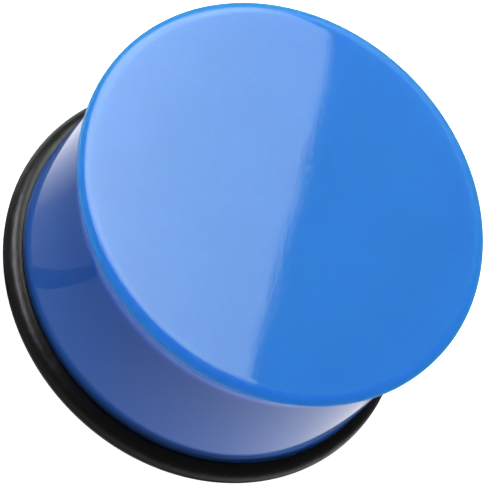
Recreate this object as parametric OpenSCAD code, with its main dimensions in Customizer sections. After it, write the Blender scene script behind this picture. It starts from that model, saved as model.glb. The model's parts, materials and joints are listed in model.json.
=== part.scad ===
// Ear plug gauge: a solid turned plug with one flared, flat face, held in the
// lobe by a rubber ring that sits in a groove near its rear end.
// Millimetres. It stands on its rear face at z = 0, on the Z axis, face up.

/* [Barrel] */
// Gauge of the plug: diameter of its straight barrel
gauge_d = 25.4; // [16:0.1:38]
// Length of the barrel and flare that the lobe sits on, from the groove to the rim
wear_l = 11.4; // [8:0.1:16]

/* [Flared face] */
// How far the rim stands out past the barrel
flare_out = 0.95; // [0.8:0.05:1.5]
// Radius of the hollow curve that leads the barrel out to the rim
flare_arc_r = 3.8; // [2:0.1:6]
// Height of the rim's upright edge
rim_edge_h = 0.2; // [0.1:0.05:0.8]
// Width of the softened border around the flat of the face
border_w = 0.9; // [0.4:0.05:1.3]
// Radius of that softening, seen in section
border_arc_r = 1.5; // [1.35:0.05:3]

/* [Retaining ring] */
// Thickness of the rubber ring's round section
ring_section_d = 2; // [1.5:0.1:2.8]
// Depth of the section's middle below the barrel's surface
ring_sink = 0.2; // [0:0.05:0.6]
// Clearance between the ring and its groove
ring_gap = 0.04; // [0.02:0.01:0.1]
// Rounding of the groove's two edges
groove_edge_r = 0.2; // [0.1:0.05:0.4]

/* [Rear end] */
// Length of the lip behind the groove and its rounded edge
lip_l = 0.7; // [0.7:0.1:3]
// Rounding of the rear edge
lip_edge_r = 0.6; // [0.1:0.05:0.7]

/* [Hidden] */
$fn = 180;

// Radii, measured from the plug's axis
gauge_r = gauge_d / 2;
rim_r = gauge_r + flare_out;
face_r = rim_r - border_w;
lip_flat_r = gauge_r - lip_edge_r;
ring_mid_r = gauge_r - ring_sink;
groove_edge_mid_r = gauge_r - groove_edge_r;

// Round sections of the ring and of its groove. The edge roundings touch the
// groove's round from outside, which gives the groove's half width.
ring_r = ring_section_d / 2;
groove_r = ring_r + ring_gap;
groove_half_w = sqrt(pow(groove_r + groove_edge_r, 2) - pow(groove_edge_mid_r - ring_mid_r, 2));

// Heights above the rear face
ring_z = lip_l + groove_half_w;
rim_low_z = ring_z + groove_half_w + wear_l;
rim_high_z = rim_low_z + rim_edge_h;
border_drop = border_arc_r - sqrt(pow(border_arc_r, 2) - pow(border_w, 2));
face_z = rim_high_z + border_drop;

// The flare is one arc, tangent to the barrel at this height, that leaves the
// solid at the rim's lower corner
flare_z = rim_low_z - sqrt(2 * flare_arc_r * flare_out - pow(flare_out, 2));

// Height inside the rim's edge where the border's piece overlaps the barrel's
rim_join_z = rim_high_z - rim_edge_h / 2;

// Section of the barrel and the rim, before the rounds are added and cut
module barrel_outline() {
    polygon([
        [0, 0],
        [lip_flat_r, 0],
        [lip_flat_r, lip_edge_r],
        [gauge_r, lip_edge_r],
        [gauge_r, flare_z],
        [rim_r, flare_z],
        [rim_r, rim_join_z],
        [face_r, rim_join_z],
        [face_r, face_z],
        [0, face_z]
    ]);
}

// Quarter round of the rear edge
module lip_rounding() {
    translate([lip_flat_r, lip_edge_r])
        intersection() {
            circle(r = lip_edge_r);
            translate([0, -lip_edge_r])
                square(lip_edge_r);
        }
}

// Shallow round that leads the flat of the face down to the rim's edge
module border_rounding() {
    border_h = border_drop + 3 / 4 * rim_edge_h;
    translate([face_r, face_z])
        intersection() {
            translate([0, -border_arc_r])
                circle(r = border_arc_r);
            translate([0, -border_h])
                square([border_w, border_h]);
        }
}

// Cut that leaves the hollow curve under the rim
module flare_hollow() {
    translate([gauge_r + flare_arc_r, flare_z])
        circle(r = flare_arc_r);
}

// Round-bottomed cut for the ring, with its two edges eased
module ring_groove() {
    edge_in = groove_edge_mid_r - ring_mid_r;
    mouth_out = gauge_r - ring_mid_r + groove_edge_r;
    translate([ring_mid_r, ring_z]) {
        circle(r = groove_r);
        difference() {
            polygon([
                [0, 0],
                [edge_in, -groove_half_w],
                [mouth_out, -groove_half_w],
                [mouth_out, groove_half_w],
                [edge_in, groove_half_w]
            ]);
            for (side = [-1, 1])
                translate([edge_in, side * groove_half_w])
                    circle(r = groove_edge_r);
        }
    }
}

// Solid plug of cast acrylic, turned and polished all over
module plug_body() {
    color("#377dde")
        rotate_extrude()
            difference() {
                union() {
                    barrel_outline();
                    lip_rounding();
                    border_rounding();
                }
                flare_hollow();
                ring_groove();
            }
}

// Retaining ring of black rubber, a little more than half sunk in its groove
module o_ring() {
    color("#141515")
        translate([0, 0, ring_z])
            rotate_extrude()
                translate([ring_mid_r, 0])
                    circle(r = ring_r);
}

plug_body();
o_ring();
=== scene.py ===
import json
import math

import bpy
from mathutils import Matrix, Vector


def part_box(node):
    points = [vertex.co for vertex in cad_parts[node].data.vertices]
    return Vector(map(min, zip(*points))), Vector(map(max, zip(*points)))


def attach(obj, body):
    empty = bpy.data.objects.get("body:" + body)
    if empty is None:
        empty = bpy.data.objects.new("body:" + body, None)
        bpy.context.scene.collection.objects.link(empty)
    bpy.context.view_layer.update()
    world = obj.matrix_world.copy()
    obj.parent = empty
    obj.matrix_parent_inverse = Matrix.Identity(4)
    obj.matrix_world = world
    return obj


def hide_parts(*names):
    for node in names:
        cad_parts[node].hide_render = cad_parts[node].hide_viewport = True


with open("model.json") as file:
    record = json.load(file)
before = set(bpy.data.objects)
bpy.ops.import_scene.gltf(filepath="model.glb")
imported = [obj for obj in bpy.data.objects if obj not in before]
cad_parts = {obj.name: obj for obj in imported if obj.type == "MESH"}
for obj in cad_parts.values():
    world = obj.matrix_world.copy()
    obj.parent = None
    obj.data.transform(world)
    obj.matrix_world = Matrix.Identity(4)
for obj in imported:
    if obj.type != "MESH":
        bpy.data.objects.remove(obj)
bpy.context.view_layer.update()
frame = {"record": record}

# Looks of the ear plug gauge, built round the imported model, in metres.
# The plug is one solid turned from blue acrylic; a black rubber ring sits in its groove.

MM = 0.001

# Sizes that the frame gives
plug_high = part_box("plug_body")[1]
ring_low, ring_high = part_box("o_ring")
LOBE_SEAT = next(m for m in frame["record"]["mounts"] if m["name"] == "lobe_seat")
GAUGE_R = LOBE_SEAT["dims"]["r_mm"] * MM
RIM_R = plug_high.x
FACE_Z = plug_high.z
RING_Z = (ring_high.z + ring_low.z) / 2
RING_OUTER_R = ring_high.x

# Sizes that the boxes don't give, as in the part's source
RING_R = 1 * MM
RING_MID_R = RING_OUTER_R - RING_R
BORDER_W = 0.9 * MM
BORDER_ARC_R = 1.5 * MM
RIM_EDGE_H = 0.2 * MM
FLARE_ARC_R = 3.8 * MM
RING_GAP = 0.04 * MM
GROOVE_EDGE_R = 0.2 * MM
LIP_EDGE_R = 0.6 * MM

# Fineness of the meshes
STEPS_AROUND = 384
RING_STEPS_ACROSS = 56
# Most that a straight step may cut off a round
CHORD_ERROR = 0.0006 * MM
# The rim's two corners are eased by the last polish
CORNER_R = 0.07 * MM
# A point this far from the end of a straight stretch keeps it straight under smooth shading
HOLD = 0.04 * MM
# Points closer than this are one: it closes the seam and the two middles
WELD = 0.001 * MM

# A ramp is the stretch in mm that it runs over, its shares at the two ends, and how it runs
EVEN = "LINEAR"
SOFT = "SMOOTHSTEP"
# Cloudy noise mostly lies between these
NOISE_LOW = 0.3
NOISE_HIGH = 0.7

# Sizes in mm, by which the finish is laid
RIM_R_MM = RIM_R / MM
FACE_MM = FACE_Z / MM
RING_MM = RING_Z / MM

# Finish of the acrylic
ACRYLIC_IOR = 1.49
FACE_BLUE = "#3380dd"
CLOUD_BLUE = "#3784e3"
# Painted shade for the barrel and painted light for the thin flare
BARREL_SHADE_BLUE = "#2a6ed2"
FLARE_GLOW_BLUE = "#3081ff"
# Painted highlight on the flare just under the rim
RIM_HIGHLIGHT_BLUE = "#92c6ff"
SCUFF_BLUE = "#a9c6f2"
# Painted shade beside the groove
GROOVE_SHADE_BLUE = "#0a244c"
# The face's blue keeps to its flat. Painted light on the thin flare sets in where the barrel ends, and below
# that the barrel has painted shade
FACE_ENDS = ((FACE_MM - 0.01, FACE_MM - 0.05), (0, 1), EVEN)
FLARE_GLOW_SETS_IN = ((FACE_MM - 3.18, FACE_MM - 2.38), (0, 1), SOFT)
# A painted highlight on the flare just under the rim
HIGHLIGHT_STARTS = ((FACE_MM - 2.68, FACE_MM - 2.18), (0, 0.5), SOFT)
HIGHLIGHT_ENDS = ((FACE_MM - 1.08, FACE_MM - 1.68), (0, 1), SOFT)
# The hollow of the flare, up to the rim's foot, is rougher: a buffing wheel hardly reaches it
HOLLOW_STARTS = ((FACE_MM - 2.78, FACE_MM - 2.18), (0, 0.3), SOFT)
HOLLOW_TOP = FACE_MM - 0.48
# The rim's edge is scuffed and has lost its gloss
EDGE_WEARS = ((RIM_R_MM - 0.14, RIM_R_MM), (0, 1), SOFT)
EDGE_DULLS = ((RIM_R_MM - 0.17, RIM_R_MM - 0.08), (0.5, 0.1), EVEN)
SCUFF_SHARE = 0.05
SCUFF_ROUGHNESS = 0.06
# Painted shade beside the groove, for the ring's shadow and its dark reflection, which reaches a little
# higher at the right
GROOVE_SHADE_LEAN = (-0.025, 0, 1)
GROOVE_SHADE_FADES = ((RING_MM + 2.38, RING_MM + 1.3), (0, 0.92), SOFT)
# The face rolls off towards the rim, faster and faster
FACE_ROLLS_OFF = ((RIM_R_MM - 4.65, RIM_R_MM - 0.65), (0, 1), EVEN)
ROLL_POWER = 2.0
# Depths of its relief, in mm
WAVE_DEPTH = 0.003
ROLL_DEPTH = 0.02
BROAD_SWIRL_DEPTH = 0.00016
FINE_SWIRL_DEPTH = 0.0001
# How far light spreads into the casting, and the share of that way that red, green and blue light goes
SPREAD = 3.2 * MM
SPREAD_SHARES = (0.5, 0.8, 1.0)

# Finish of the rubber
RUBBER_IOR = 1.52
RUBBER_BLACK = "#0d0d0e"
BLOOM_BLACK = "#151516"
# The fine pits of the moulded skin swallow about half of its gloss
RUBBER_GLOSS = 0.26
# Depths of its relief, in mm
DENT_DEPTH = 0.02
GRAIN_DEPTH = 0.006

# Sheets of the floor: how far each reaches, how high the unseen ones lie, and their greys and roughnesses
TABLE_HALF = 1.5
CARD_HALF = 28 * MM
FILL_HALF = 30 * MM
CARD_Z = -0.02 * MM
FILL_Z = -0.01 * MM
TABLE_GREY = 0.8
SHEET_GREY = 0.1
MATT = 0.9
SATIN = 0.5
# The table's own light keeps it white where the plug would shade it
TABLE_GLOW = 1.0

# Areas of the glowing card, placed from what the barrel and the ring mirror in the photograph. Rounds about
# the axis are a little longer from front to back.
CARD_SQUEEZE = (1, 0.94, 0)
# In front it is brighter at the right, up to a little behind the axis and within a round
BRIGHT_WAY = (0.87, 0.5, 0)
FRONT_BRIGHTENS = ((-18, 18), (0.16, 1.2), EVEN)
FRONT_ENDS = ((4.5, 2.0), (0.12, 1), SOFT)
FRONT_MIDDLE = (0, -6, 0)
FRONT_ROUND = ((19.6, 18.4), (0.3, 1), SOFT)
# At the back it is brighter at the left
BACK_WAY = (-0.26, 0.97, 0)
BACK_STARTS = ((-2, 6), (0, 1), EVEN)
BACK_BRIGHTENS = ((0, -12), (0.1, 0.9), EVEN)
# The open table starts where the plug's shade ends, and next to the plug all is dark
OPEN_STARTS = ((21, 24), (0, 0.45), SOFT)
DARK_ENDS = ((14.36, 14.62), (0, 1), SOFT)
# A little light gets under the ring in front
UNDER_RING = ((13.5, 13.2), (0, 1), SOFT)
UNDER_RING_FRONT = ((-10, -12), (0, 0.4), EVEN)
# A narrow dark strip in front, at the left, which leans a little
STRIP_WAY = (1, -0.15, 0)
STRIP_LEFT = ((-10.0, -9.65), (0, 0.85), SOFT)
STRIP_RIGHT = ((-8.05, -8.25), (0, 1), SOFT)
STRIP_END = -9
# The card fades out, so that its edge and corners aren't mirrored
CARD_FADES = ((26.5, 22.5), (0, 1), SOFT)

# The fill is weaker at the back and next to the plug, and stronger at the right
FILL_BACK = ((14, 0), (0.45, 1), SOFT)
FILL_RIGHT = ((-18, 18), (0.75, 1.5), EVEN)
FILL_CLEARS = ((13, 22), (0.4, 1), EVEN)

# Camera, as the photograph shows the plug. Its size is 487 x 488 pixels.
PHOTO_H = 488
PX_PER_M = 16132
VIEW_DISTANCE = 0.6
# Angle between the plug's axis and the line of sight
VIEW_TILT = math.radians(33.64)
# The axis points up and to the right in the photograph
VIEW_ROLL = math.radians(44.2)
# The picture's middle, left of and below the middle of the face
AIM_RIGHT = -2.514 * MM
AIM_UP = -2.696 * MM

# Where the main panel's mirrored edge crosses the face, and its way there
EDGE_CROSSES = (1.33 * MM, -1.29 * MM)
EDGE_WAY = (0.425, -0.905, 0)
# How far off the panels stand
KEY_DISTANCE = 250 * MM
SPILL_DISTANCE = 255 * MM
SIDE_DISTANCE = 400 * MM
SATIN_DISTANCE = 200 * MM
# Ways from the plug to the panels beside it, and the way along the narrow one
LEFT_WAY = (-0.85, -0.3, 0.43)
RIGHT_WAY = (0.8, 0.25, 0.55)
SATIN_WAY = (-0.86, -0.1, 0.49)
SATIN_ALONG = (-0.05, 0.93, -0.38)
LEFT_STRENGTH = 4.8
RIGHT_STRENGTH = 2.0
# Panels. The span is how far one reaches along and across, low and high, in mm. Each fade is one of its two
# axes, the stretch in mm over which its light grows to full, and the share at the start.
KEY_PANEL = {
    "span": (-200, 160, 0, 270),
    "strength": 6.95,
    "tint": "#f7ffee",
    "fades": [
        ("Y", (0, 28), 0.62),
        ("Y", (20, 90), 0.85),
        ("Y", (270, 150), 0),
        ("X", (160, 30), 0),
        ("X", (-200, -100), 0.35),
    ],
}
SPILL_PANEL = {
    "span": (-230, 30, -150, 0),
    "strength": 1.1,
    "fades": [("Y", (-150, 0), 0.4), ("X", (30, -160), 0)],
}
SIDE_PANEL = {
    "span": (-170, 170, -60, 60),
    "fades": [("X", (-170, -90), 0), ("X", (170, 90), 0)],
}
SATIN_PANEL = {
    "span": (-170, 85, -30, 30),
    "strength": 13.0,
    "tint": "#f8f2ff",
    "fades": [("X", (-170, -95), 0), ("X", (85, 40), 0)],
}
# Light that the dim studio gives from all round
STUDIO_GLOW = 0.12


def colour(hex_code):
    """An sRGB colour such as #377dde, as linear red, green, blue and alpha."""
    shares = [int(hex_code[i:i + 2], 16) / 255 for i in (1, 3, 5)]
    linear = [s / 12.92 if s <= 0.04045 else ((s + 0.055) / 1.055) ** 2.4 for s in shares]
    return (*linear, 1.0)


def feed(tree, node, links):
    """Gives each named or numbered input of a node its value, or the socket that feeds it."""
    for name, value in links.items():
        if isinstance(value, bpy.types.NodeSocket):
            tree.links.new(value, node.inputs[name])
        else:
            node.inputs[name].default_value = value


def add_node(tree, kind, links=None, **settings):
    """Adds a node with its settings and links."""
    node = tree.nodes.new(kind)
    for name, value in settings.items():
        setattr(node, name, value)
    feed(tree, node, links or {})
    return node


def new_tree(name, inputs):
    """A geometry tree with these inputs, each a name and a kind of socket, and one geometry output."""
    tree = bpy.data.node_groups.new(name, "GeometryNodeTree")
    for label, kind in inputs:
        tree.interface.new_socket(label, in_out="INPUT", socket_type=kind)
    tree.interface.new_socket("Geometry", in_out="OUTPUT", socket_type="NodeSocketGeometry")
    return tree


def finish_tree(tree, shell, material):
    """Ends a tree: smooth faces, instances made real, and the material set."""
    smooth = add_node(tree, "GeometryNodeSetShadeSmooth", {"Geometry": shell})
    real = add_node(tree, "GeometryNodeRealizeInstances", {"Geometry": smooth.outputs[0]})
    painted = add_node(tree, "GeometryNodeSetMaterial", {"Geometry": real.outputs[0], "Material": material})
    add_node(tree, "NodeGroupOutput", {0: painted.outputs[0]})


def turning_tree():
    """Turns a profile, drawn in the XZ plane with X as its radius, about the Z axis into a closed shell."""
    tree = new_tree("turned_shell", [
        ("Profile", "NodeSocketGeometry"),
        ("Steps around", "NodeSocketInt"),
        ("Weld distance", "NodeSocketFloat"),
        ("Material", "NodeSocketMaterial"),
    ])
    given = add_node(tree, "NodeGroupInput")
    profile = given.outputs["Profile"]
    steps = given.outputs["Steps around"]

    # A sheet with a row for each point of the profile and a column for each step
    size = add_node(tree, "GeometryNodeAttributeDomainSize", {"Geometry": profile})
    columns = add_node(tree, "ShaderNodeMath", {0: steps, 1: 1.0}, operation="ADD")
    sheet = add_node(tree, "GeometryNodeMeshGrid", {
        "Vertices X": size.outputs["Point Count"],
        "Vertices Y": columns.outputs[0],
    })

    # Each point of the sheet takes its row's place on the profile, turned by its column's share
    index = add_node(tree, "GeometryNodeInputIndex")
    index_by_columns = {0: index.outputs[0], 1: columns.outputs[0]}
    share = add_node(tree, "ShaderNodeMath", index_by_columns, operation="DIVIDE")
    row = add_node(tree, "ShaderNodeMath", {0: share.outputs[0]}, operation="FLOOR")
    column = add_node(tree, "ShaderNodeMath", index_by_columns, operation="MODULO")
    turn = add_node(tree, "ShaderNodeMath", {0: column.outputs[0], 1: steps}, operation="DIVIDE")
    angle = add_node(tree, "ShaderNodeMath", {0: turn.outputs[0], 1: math.tau}, operation="MULTIPLY")
    position = add_node(tree, "GeometryNodeInputPosition")
    on_profile = add_node(
        tree, "GeometryNodeSampleIndex",
        {"Geometry": profile, "Value": position.outputs[0], "Index": row.outputs[0]},
        data_type="FLOAT_VECTOR",
    )
    place = add_node(
        tree, "ShaderNodeVectorRotate",
        {"Vector": on_profile.outputs[0], "Angle": angle.outputs[0]},
        rotation_type="Z_AXIS",
    )
    turned = add_node(tree, "GeometryNodeSetPosition", {
        "Geometry": sheet.outputs["Mesh"],
        "Position": place.outputs[0],
    })
    closed = add_node(tree, "GeometryNodeMergeByDistance", {
        "Geometry": turned.outputs[0],
        "Distance": given.outputs["Weld distance"],
    })
    finish_tree(tree, closed.outputs[0], given.outputs["Material"])
    return tree


def ring_tree():
    """A round ring about the Z axis, from the sizes of its line and of its section."""
    tree = new_tree("round_ring", [
        ("Middle radius", "NodeSocketFloat"),
        ("Section radius", "NodeSocketFloat"),
        ("Height", "NodeSocketFloat"),
        ("Steps around", "NodeSocketInt"),
        ("Steps across", "NodeSocketInt"),
        ("Material", "NodeSocketMaterial"),
    ])
    given = add_node(tree, "NodeGroupInput")
    line = add_node(tree, "GeometryNodeCurvePrimitiveCircle", {
        "Resolution": given.outputs["Steps around"],
        "Radius": given.outputs["Middle radius"],
    })
    section = add_node(tree, "GeometryNodeCurvePrimitiveCircle", {
        "Resolution": given.outputs["Steps across"],
        "Radius": given.outputs["Section radius"],
    })
    swept = add_node(tree, "GeometryNodeCurveToMesh", {
        "Curve": line.outputs["Curve"],
        "Profile Curve": section.outputs["Curve"],
    })
    up = add_node(tree, "ShaderNodeCombineXYZ", {"Z": given.outputs["Height"]})
    raised = add_node(tree, "GeometryNodeTransform", {
        "Geometry": swept.outputs["Mesh"],
        "Translation": up.outputs[0],
    })
    finish_tree(tree, raised.outputs[0], given.outputs["Material"])
    return tree


def new_object(name, mesh):
    """Puts a mesh, or the camera's lens, into the scene."""
    piece = bpy.data.objects.new(name, mesh)
    bpy.context.scene.collection.objects.link(piece)
    return piece


def grow(piece, tree, values):
    """Gives a piece the mesh that the tree makes of it, with these values for the tree's named inputs."""
    modifier = piece.modifiers.new("shape", "NODES")
    modifier.node_group = tree
    for item in tree.interface.items_tree:
        if item.in_out == "INPUT" and item.name in values:
            modifier[item.identifier] = values[item.name]
    depsgraph = bpy.context.evaluated_depsgraph_get()
    mesh = bpy.data.meshes.new_from_object(piece.evaluated_get(depsgraph))
    piece.modifiers.clear()
    piece.data = mesh
    mesh.name = piece.name


def arc(middle, radius, start, end):
    """Points on a round in the profile's plane, from one angle to the other, both included."""
    step = 2 * math.acos(1 - CHORD_ERROR / radius)
    steps = math.ceil(abs(end - start) / step)
    angles = [start + (end - start) * i / steps for i in range(steps + 1)]
    return [(middle[0] + radius * math.cos(a), middle[1] + radius * math.sin(a)) for a in angles]


def straight(start, end):
    """A straight stretch with a holding point near each end."""
    run = Vector(end) - Vector(start)
    step = run.normalized() * HOLD
    return [tuple(start), tuple(Vector(start) + step), tuple(Vector(end) - step), tuple(end)]


def eased_corner(corner, way_in, way_out):
    """Small round in place of a corner. The ways are angles: how the outline comes in and how it leaves."""
    turn = way_out - way_in
    cut = CORNER_R * math.tan(abs(turn) / 2)
    start = (corner[0] - cut * math.cos(way_in), corner[1] - cut * math.sin(way_in))
    middle = (start[0] + CORNER_R * math.sin(way_in), start[1] - CORNER_R * math.cos(way_in))
    return arc(middle, CORNER_R, way_in + math.pi / 2, way_out + math.pi / 2)


def plug_profile():
    """Outline of the plug, from the middle of its face over rim and groove to the middle of its rear."""
    quarter = math.pi / 2

    # Rounds that make the outline, each with its middle
    face_r = RIM_R - BORDER_W
    border_mid = (face_r, FACE_Z - BORDER_ARC_R)
    border_turn = math.asin(BORDER_W / BORDER_ARC_R)
    rim_top = (RIM_R, border_mid[1] + BORDER_ARC_R * math.cos(border_turn))
    rim_foot = (RIM_R, rim_top[1] - RIM_EDGE_H)
    flare_out = RIM_R - GAUGE_R
    flare_h = math.sqrt(2 * FLARE_ARC_R * flare_out - flare_out ** 2)
    flare_mid = (GAUGE_R + FLARE_ARC_R, rim_foot[1] - flare_h)
    flare_turn = math.asin(flare_h / FLARE_ARC_R)
    groove_mid = (RING_MID_R, RING_Z)
    groove_r = RING_R + RING_GAP
    edge_in = GAUGE_R - GROOVE_EDGE_R - RING_MID_R
    edge_up = math.sqrt((groove_r + GROOVE_EDGE_R) ** 2 - edge_in ** 2)
    edge_turn = math.atan2(edge_up, edge_in)

    # The ways of the outline at the rim's two corners
    border_way = -border_turn
    rim_way = -quarter
    flare_way = -quarter - flare_turn

    # Shares of the big rounds that the eased corners take
    top_cut = CORNER_R * math.tan((border_way - rim_way) / 2) / BORDER_ARC_R
    foot_cut = CORNER_R * math.tan((rim_way - flare_way) / 2) / FLARE_ARC_R

    points = straight((0, FACE_Z), (face_r, FACE_Z))
    points += arc(border_mid, BORDER_ARC_R, quarter, quarter - border_turn + top_cut)
    points += eased_corner(rim_top, border_way, rim_way)
    points += eased_corner(rim_foot, rim_way, flare_way)
    points += arc(flare_mid, FLARE_ARC_R, math.pi - flare_turn + foot_cut, math.pi)
    points += straight((GAUGE_R, flare_mid[1]), (GAUGE_R, RING_Z + edge_up))
    edge_mid = (RING_MID_R + edge_in, RING_Z + edge_up)
    points += arc(edge_mid, GROOVE_EDGE_R, 0, edge_turn - math.pi)
    points += arc(groove_mid, groove_r, edge_turn, math.tau - edge_turn)
    edge_mid = (RING_MID_R + edge_in, RING_Z - edge_up)
    points += arc(edge_mid, GROOVE_EDGE_R, math.pi - edge_turn, 0)
    points += straight((GAUGE_R, RING_Z - edge_up), (GAUGE_R, LIP_EDGE_R))
    points += arc((GAUGE_R - LIP_EDGE_R, LIP_EDGE_R), LIP_EDGE_R, 0, -quarter)
    points += straight((GAUGE_R - LIP_EDGE_R, 0), (0, 0))

    # Stretches that follow each other share a point
    outline = points[:1]
    for point in points[1:]:
        if (Vector(point) - Vector(outline[-1])).length > WELD:
            outline.append(point)
    return outline


def new_material(name, shader_kind="ShaderNodeBsdfPrincipled"):
    """A material with an empty tree, its shader and its output."""
    material = bpy.data.materials.new(name)
    material.use_nodes = True
    tree = material.node_tree
    tree.nodes.clear()
    shader = add_node(tree, shader_kind)
    add_node(tree, "ShaderNodeOutputMaterial", {"Surface": shader.outputs[0]})
    return material, tree, shader


def in_mm(tree):
    """The point on the piece in millimetres, by which every pattern and every light here is laid."""
    place = add_node(tree, "ShaderNodeTexCoord").outputs["Object"]
    return add_node(tree, "ShaderNodeVectorMath", {0: place, "Scale": 1 / MM}, operation="SCALE").outputs[0]


def out_from_axis(tree, place, squeeze=(1, 1, 0)):
    """How far a point lies from the plug's axis, in mm. The squeeze can make rounds about the axis oval."""
    flat = add_node(tree, "ShaderNodeVectorMath", {0: place, 1: squeeze}, operation="MULTIPLY")
    return add_node(tree, "ShaderNodeVectorMath", {0: flat.outputs[0]}, operation="LENGTH").outputs["Value"]


def graded(tree, steps, amount=1.0):
    """The amount times the share of each step. A step is a reading in mm and the ramp that it is put on."""
    for reading, (stretch, shares, kind) in steps:
        share = add_node(tree, "ShaderNodeMapRange", {
            "Value": reading,
            "From Min": stretch[0],
            "From Max": stretch[1],
            "To Min": shares[0],
            "To Max": shares[1],
        }, interpolation_type=kind)
        product = add_node(tree, "ShaderNodeMath", {0: share.outputs[0], 1: amount}, operation="MULTIPLY")
        amount = product.outputs[0]
    return amount


def coated(tree, base, coats):
    """A colour with others laid over it in turn. Each coat is the share that it covers and its colour."""
    for share, coat in coats:
        mixed = add_node(tree, "ShaderNodeMix", {"Factor": share, "A": base, "B": coat}, data_type="RGBA")
        base = mixed.outputs["Result"]
    return base


def mottle(tree, place, per_mm, detail=0.0, low=0.0, high=1.0):
    """Cloudy noise with so many features per mm, stretched to run from low to high."""
    noise = add_node(tree, "ShaderNodeTexNoise", {"Vector": place, "Scale": per_mm, "Detail": detail})
    return add_node(tree, "ShaderNodeMapRange", {
        "Value": noise.outputs[0],
        "From Min": NOISE_LOW,
        "From Max": NOISE_HIGH,
        "To Min": low,
        "To Max": high,
    }).outputs[0]


def relief(tree, layers):
    """Surface relief, broadest layer first. Each layer is its height, from 0 to 1, and its depth in mm."""
    normal = None
    for height, depth in layers:
        links = {"Height": height, "Distance": depth * MM, "Strength": 1.0}
        if normal:
            links["Normal"] = normal
        normal = add_node(tree, "ShaderNodeBump", links).outputs[0]
    return normal


def acrylic_colour(tree, place, height, wear):
    """Blue of the casting, with what use has left on it, and painted shade, light and highlight on its
    sides.
    """
    # Pigment stirred into the casting: slow clouds, and grains that are drawn at 0.2 mm, coarser than real
    clouds = mottle(tree, place, per_mm=0.15, detail=2.0)
    grains = mottle(tree, place, per_mm=5.0, detail=1.0, low=-0.25, high=0.25)
    stirred = add_node(tree, "ShaderNodeMath", {0: clouds, 1: grains}, operation="ADD", use_clamp=True)
    face = coated(tree, colour(FACE_BLUE), [(stirred.outputs[0], colour(CLOUD_BLUE))])

    # Painted shade makes the barrel deep in colour and painted light makes the thin flare lighter, with a
    # painted highlight near the rim
    flare = graded(tree, [(height, FLARE_GLOW_SETS_IN)])
    rim_highlight = graded(tree, [(height, HIGHLIGHT_STARTS), (height, HIGHLIGHT_ENDS)])
    sides = coated(tree, colour(BARREL_SHADE_BLUE), [(flare, colour(FLARE_GLOW_BLUE)), (rim_highlight, colour(RIM_HIGHLIGHT_BLUE))])

    # Painted shade on this end of the barrel beside the groove, for the ring's shadow and its dark
    # reflection
    groove_shade_height = add_node(tree, "ShaderNodeVectorMath", {0: place, 1: GROOVE_SHADE_LEAN}, operation="DOT_PRODUCT")
    above_ring = add_node(tree, "ShaderNodeMath", {0: height, 1: RING_MM}, operation="GREATER_THAN")
    groove_shade = graded(tree, [(groove_shade_height.outputs["Value"], GROOVE_SHADE_FADES)], above_ring.outputs[0])

    beyond_face = graded(tree, [(height, FACE_ENDS)])
    scuffed = add_node(tree, "ShaderNodeMath", {0: wear, 1: SCUFF_SHARE}, operation="MULTIPLY")
    return coated(tree, face, [
        (beyond_face, sides),
        (scuffed.outputs[0], colour(SCUFF_BLUE)),
        (groove_shade, colour(GROOVE_SHADE_BLUE)),
    ])


def acrylic_roughness(tree, place, height, wear):
    """Buffed gloss with patches of faint haze, more on the worn edge and most in the flare's hollow."""
    haze = mottle(tree, place, per_mm=0.35, detail=3.0, low=0.014, high=0.022)
    worn = add_node(tree, "ShaderNodeMath", {
        0: wear,
        1: SCUFF_ROUGHNESS,
        2: haze,
    }, operation="MULTIPLY_ADD")
    below_rim = add_node(tree, "ShaderNodeMath", {0: height, 1: HOLLOW_TOP}, operation="LESS_THAN")
    hollow = graded(tree, [(height, HOLLOW_STARTS)], below_rim.outputs[0])
    return add_node(tree, "ShaderNodeMath", {0: hollow, 1: worn.outputs[0]}, operation="ADD").outputs[0]


def acrylic_relief(tree, place, radius):
    """Faint waves and a roll-off towards the rim, as a hand-held buff leaves them, under its fine swirls.
    These are drawn at 0.2 and 0.1 mm, coarser than real."""
    waves = mottle(tree, place, per_mm=0.09)
    towards_rim = graded(tree, [(radius, FACE_ROLLS_OFF)])
    fall = add_node(tree, "ShaderNodeMath", {0: towards_rim, 1: ROLL_POWER}, operation="POWER")
    rolled = add_node(tree, "ShaderNodeMath", {0: 1.0, 1: fall.outputs[0]}, operation="SUBTRACT")
    broad_swirls = mottle(tree, place, per_mm=5.5)
    fine_swirls = mottle(tree, place, per_mm=9.0)
    return relief(tree, [
        (waves, WAVE_DEPTH),
        (rolled.outputs[0], ROLL_DEPTH),
        (broad_swirls, BROAD_SWIRL_DEPTH),
        (fine_swirls, FINE_SWIRL_DEPTH),
    ])


def cast_acrylic():
    """Opaque blue cast acrylic, turned and then buffed: an even blue under a near-mirror gloss."""
    material, tree, shader = new_material("cast_acrylic_buffed")
    place = in_mm(tree)
    height = add_node(tree, "ShaderNodeSeparateXYZ", {0: place}).outputs["Z"]
    radius = out_from_axis(tree, place)
    # Scuffs from handling gather on the rim's edge, which has lost its gloss
    scuffs = mottle(tree, place, per_mm=1.2, detail=3.0, low=0.25, high=1.0)
    wear = graded(tree, [(radius, EDGE_WEARS)], scuffs)
    feed(tree, shader, {
        "Base Color": acrylic_colour(tree, place, height, wear),
        "Roughness": acrylic_roughness(tree, place, height, wear),
        "Normal": acrylic_relief(tree, place, radius),
        "IOR": ACRYLIC_IOR,
        "Specular IOR Level": graded(tree, [(radius, EDGE_DULLS)]),
        # Light spreads a little way in, blue furthest, so that the thin rim glows on its shaded side
        "Subsurface Weight": 1.0,
        "Subsurface Radius": SPREAD_SHARES,
        "Subsurface Scale": SPREAD,
    })
    return material


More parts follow.
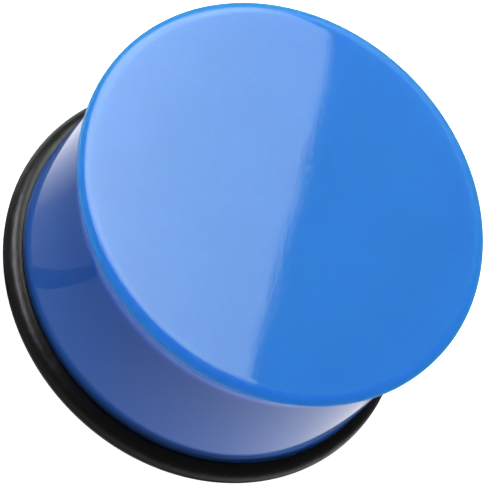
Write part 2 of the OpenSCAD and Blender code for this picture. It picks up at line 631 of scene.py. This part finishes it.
def nitrile_rubber():
    """Black nitrile rubber from a satin mould: near black, with a soft broad sheen."""
    material, tree, shader = new_material("nitrile_rubber_moulded")
    place = in_mm(tree)
    # Carbon black with a faint grey bloom in patches
    bloom = mottle(tree, place, per_mm=0.8, detail=3.0)
    # Grain of the mould, drawn at 0.25 mm, coarser than real, over soft dents
    dents = mottle(tree, place, per_mm=0.9, detail=1.0)
    grain = mottle(tree, place, per_mm=4.0, detail=2.0)
    # Handling rubs the satin glossier in places
    rubbed = mottle(tree, place, per_mm=1.5, detail=2.0, low=0.31, high=0.39)
    feed(tree, shader, {
        "Base Color": coated(tree, colour(RUBBER_BLACK), [(bloom, colour(BLOOM_BLACK))]),
        "Roughness": rubbed,
        "Normal": relief(tree, [(dents, DENT_DEPTH), (grain, GRAIN_DEPTH)]),
        "IOR": RUBBER_IOR,
        "Specular IOR Level": RUBBER_GLOSS,
    })
    return material


def add_plug():
    """The solid plug: face, rim, flare, barrel, groove and lip are one turned piece."""
    outline = plug_profile()
    line = bpy.data.meshes.new("plug_outline")
    line.from_pydata([(r, 0, z) for r, z in outline], [(i, i + 1) for i in range(len(outline) - 1)], [])
    plug = new_object("acrylic_plug", line)
    grow(plug, turning_tree(), {
        "Steps around": STEPS_AROUND,
        "Weld distance": WELD,
        "Material": cast_acrylic(),
    })
    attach(plug, "root")
    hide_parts("plug_body")


def add_ring():
    """The retaining ring in its groove."""
    ring = new_object("rubber_ring", bpy.data.meshes.new("ring_start"))
    grow(ring, ring_tree(), {
        "Middle radius": RING_MID_R,
        "Section radius": RING_R,
        "Height": RING_Z,
        "Steps around": STEPS_AROUND,
        "Steps across": RING_STEPS_ACROSS,
        "Material": nitrile_rubber(),
    })
    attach(ring, "root")
    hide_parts("o_ring")


def flat_mesh(name, span, height, material):
    """A flat rectangle. span gives how far it reaches in X and Y, low and high."""
    low_x, high_x, low_y, high_y = span
    corners = [(low_x, low_y), (high_x, low_y), (high_x, high_y), (low_x, high_y)]
    mesh = bpy.data.meshes.new(name)
    mesh.from_pydata([(x, y, height) for x, y in corners], [], [(0, 1, 2, 3)])
    mesh.materials.append(material)
    return mesh


def add_sheet(name, half, height, grey, roughness, light):
    """A square about the axis that glows white and isn't part of the object. Its light is a strength, or a
    function that lays one out."""
    material, tree, shader = new_material(name)
    feed(tree, shader, {
        "Base Color": (grey, grey, grey, 1),
        "Roughness": roughness,
        "Emission Color": (1, 1, 1, 1),
        "Emission Strength": light(tree) if callable(light) else light,
    })
    sheet = new_object(name, flat_mesh(name, (-half, half, -half, half), height, material))
    return sheet


def card_light(tree):
    """Light of the glowing card, area by area."""
    place = in_mm(tree)
    to_right, to_back = add_node(tree, "ShaderNodeSeparateXYZ", {0: place}).outputs[:2]
    out = out_from_axis(tree, place, CARD_SQUEEZE)
    to_bright_side, backward, across_strip = (
        add_node(tree, "ShaderNodeVectorMath", {0: place, 1: way}, operation="DOT_PRODUCT").outputs["Value"]
        for way in (BRIGHT_WAY, BACK_WAY, STRIP_WAY)
    )
    from_middle = add_node(tree, "ShaderNodeVectorMath", {0: place, 1: FRONT_MIDDLE}, operation="DISTANCE")

    # The areas in front, at the back and all round, which are dark next to the plug
    front = graded(tree, [
        (to_bright_side, FRONT_BRIGHTENS),
        (to_back, FRONT_ENDS),
        (from_middle.outputs["Value"], FRONT_ROUND),
    ])
    back = graded(tree, [(backward, BACK_STARTS), (to_right, BACK_BRIGHTENS)])
    all_round = graded(tree, [(out, OPEN_STARTS)])
    others = add_node(tree, "ShaderNodeMath", {0: back, 1: all_round}, operation="ADD")
    areas = add_node(tree, "ShaderNodeMath", {0: front, 1: others.outputs[0]}, operation="ADD")
    shaded = graded(tree, [(out, DARK_ENDS)], areas.outputs[0])

    # A little light under the ring, in front
    under_ring = graded(tree, [(out, UNDER_RING), (to_back, UNDER_RING_FRONT)])
    lit = add_node(tree, "ShaderNodeMath", {0: under_ring, 1: shaded}, operation="ADD")

    # A narrow dark strip in front, at the left
    in_front = add_node(tree, "ShaderNodeMath", {0: to_back, 1: STRIP_END}, operation="LESS_THAN")
    strip = graded(tree, [(across_strip, STRIP_LEFT), (across_strip, STRIP_RIGHT)], in_front.outputs[0])
    beside = add_node(tree, "ShaderNodeMath", {0: 1.0, 1: strip}, operation="SUBTRACT")
    light = add_node(tree, "ShaderNodeMath", {0: lit.outputs[0], 1: beside.outputs[0]}, operation="MULTIPLY")
    return graded(tree, [(out, CARD_FADES)], light.outputs[0])


def fill_light(tree):
    """Light of the fill, as an open table throws it up past the plug."""
    place = in_mm(tree)
    to_right, to_back = add_node(tree, "ShaderNodeSeparateXYZ", {0: place}).outputs[:2]
    return graded(tree, [
        (to_back, FILL_BACK),
        (to_right, FILL_RIGHT),
        (out_from_axis(tree, place), FILL_CLEARS),
    ])


def add_white_table():
    """A plain white table for the eye alone. It lights nothing, and nothing mirrors it."""
    table = add_sheet("white_table", TABLE_HALF, 0, TABLE_GREY, MATT, TABLE_GLOW)
    table.visible_diffuse = False
    table.visible_glossy = False
    table.visible_shadow = False


def add_glowing_card():
    """An unseen card just under the table. The fill lies over it, so in effect the plug and the ring only
    mirror it."""
    card = add_sheet("glowing_card", CARD_HALF, CARD_Z, SHEET_GREY, MATT, card_light)
    card.visible_camera = False


def add_table_fill():
    """An unseen sheet over the card that lights the plug from below and isn't mirrored."""
    fill = add_sheet("table_fill", FILL_HALF, FILL_Z, SHEET_GREY, SATIN, fill_light)
    fill.visible_camera = False
    fill.visible_glossy = False


def add_camera():
    """Looks at the face as the photograph does, from above the floor."""
    back = Vector((0, -math.sin(VIEW_TILT), math.cos(VIEW_TILT)))
    level_up = Vector((0, math.cos(VIEW_TILT), math.sin(VIEW_TILT)))
    level_right = Vector((1, 0, 0))
    right = level_up * math.sin(VIEW_ROLL) + level_right * math.cos(VIEW_ROLL)
    up = level_up * math.cos(VIEW_ROLL) - level_right * math.sin(VIEW_ROLL)
    aim = Vector((0, 0, FACE_Z)) + right * AIM_RIGHT + up * AIM_UP
    lens = bpy.data.cameras.new("camera")
    lens.lens = lens.sensor_width * VIEW_DISTANCE * PX_PER_M / PHOTO_H
    lens.clip_start = VIEW_DISTANCE / 10
    camera = new_object("camera", lens)
    turned = Matrix((right, up, back)).transposed().to_4x4()
    camera.matrix_world = Matrix.Translation(aim + back * VIEW_DISTANCE) @ turned
    bpy.context.scene.camera = camera


def panel_material(name, strength, fades, tint):
    """White diffusing cloth, lit from behind: a soft light, which each fade takes down towards one side."""
    material, tree, shader = new_material(name, "ShaderNodeEmission")
    parts = add_node(tree, "ShaderNodeSeparateXYZ", {0: in_mm(tree)})
    steps = [(parts.outputs[axis], (stretch, (least, 1), SOFT)) for axis, stretch, least in fades]
    feed(tree, shader, {"Color": colour(tint), "Strength": graded(tree, steps, strength)})
    return material


def add_panel(name, origin, along, across, span, strength, fades, tint="#ffffff"):
    """A lit studio panel in the plane of the two ways, along and across, that the camera doesn't see."""
    material = panel_material(name, strength, fades, tint)
    panel = new_object(name, flat_mesh(name, [reach * MM for reach in span], 0, material))
    turned = Matrix((along, across, along.cross(across))).transposed().to_4x4()
    panel.matrix_world = Matrix.Translation(origin) @ turned
    panel.visible_camera = False
    return panel


def add_key_panels():
    """The main light: a panel behind the plug whose straight edge is mirrored across the face, and a weaker
    panel beyond that edge. Their fades give the light's soft slopes on the face and its border."""
    eye = bpy.context.scene.camera.matrix_world.translation
    crossing = Vector((*EDGE_CROSSES, FACE_Z))
    sight = (eye - crossing).normalized()
    way = Vector((-sight.x, -sight.y, sight.z))
    edge_way = Vector(EDGE_WAY).normalized()
    along = (edge_way - edge_way.dot(way) * way).normalized()
    across = along.cross(way)
    add_panel("key_panel", crossing + way * KEY_DISTANCE, along, across, **KEY_PANEL)
    add_panel("spill_panel", crossing + way * SPILL_DISTANCE, along, across, **SPILL_PANEL)


def add_side_panel(name, way, strength):
    """A level panel at one side of the plug, which lights it and isn't mirrored."""
    way = Vector(way).normalized()
    along = way.cross(Vector((0, 0, 1))).normalized()
    panel = add_panel(name, way * SIDE_DISTANCE, along, along.cross(way), strength=strength, **SIDE_PANEL)
    panel.visible_glossy = False


def add_satin_panel():
    """A narrow panel at the plug's left that is only mirrored and gives the ring its satin line."""
    way = Vector(SATIN_WAY).normalized()
    along = Vector(SATIN_ALONG)
    along = (along - along.dot(way) * way).normalized()
    panel = add_panel("satin_panel", way * SATIN_DISTANCE, along, along.cross(way), **SATIN_PANEL)
    panel.visible_diffuse = False


def add_world():
    """A dim studio, with a backdrop that is as white to the camera as the table."""
    world = bpy.data.worlds.new("studio")
    world.use_nodes = True
    tree = world.node_tree
    tree.nodes.clear()
    to_eye = add_node(tree, "ShaderNodeLightPath").outputs["Is Camera Ray"]
    light = add_node(tree, "ShaderNodeMapRange", {
        "Value": to_eye,
        "To Min": STUDIO_GLOW,
        "To Max": TABLE_GLOW,
    })
    back = add_node(tree, "ShaderNodeBackground", {"Color": (1, 1, 1, 1), "Strength": light.outputs[0]})
    add_node(tree, "ShaderNodeOutputWorld", {"Surface": back.outputs[0]})
    bpy.context.scene.world = world


add_plug()
add_ring()
add_white_table()
add_glowing_card()
add_table_fill()
add_camera()
add_key_panels()
add_side_panel("left_panel", LEFT_WAY, LEFT_STRENGTH)
add_satin_panel()
add_side_panel("right_panel", RIGHT_WAY, RIGHT_STRENGTH)
add_world()
bpy.context.scene.view_settings.view_transform = "Standard"
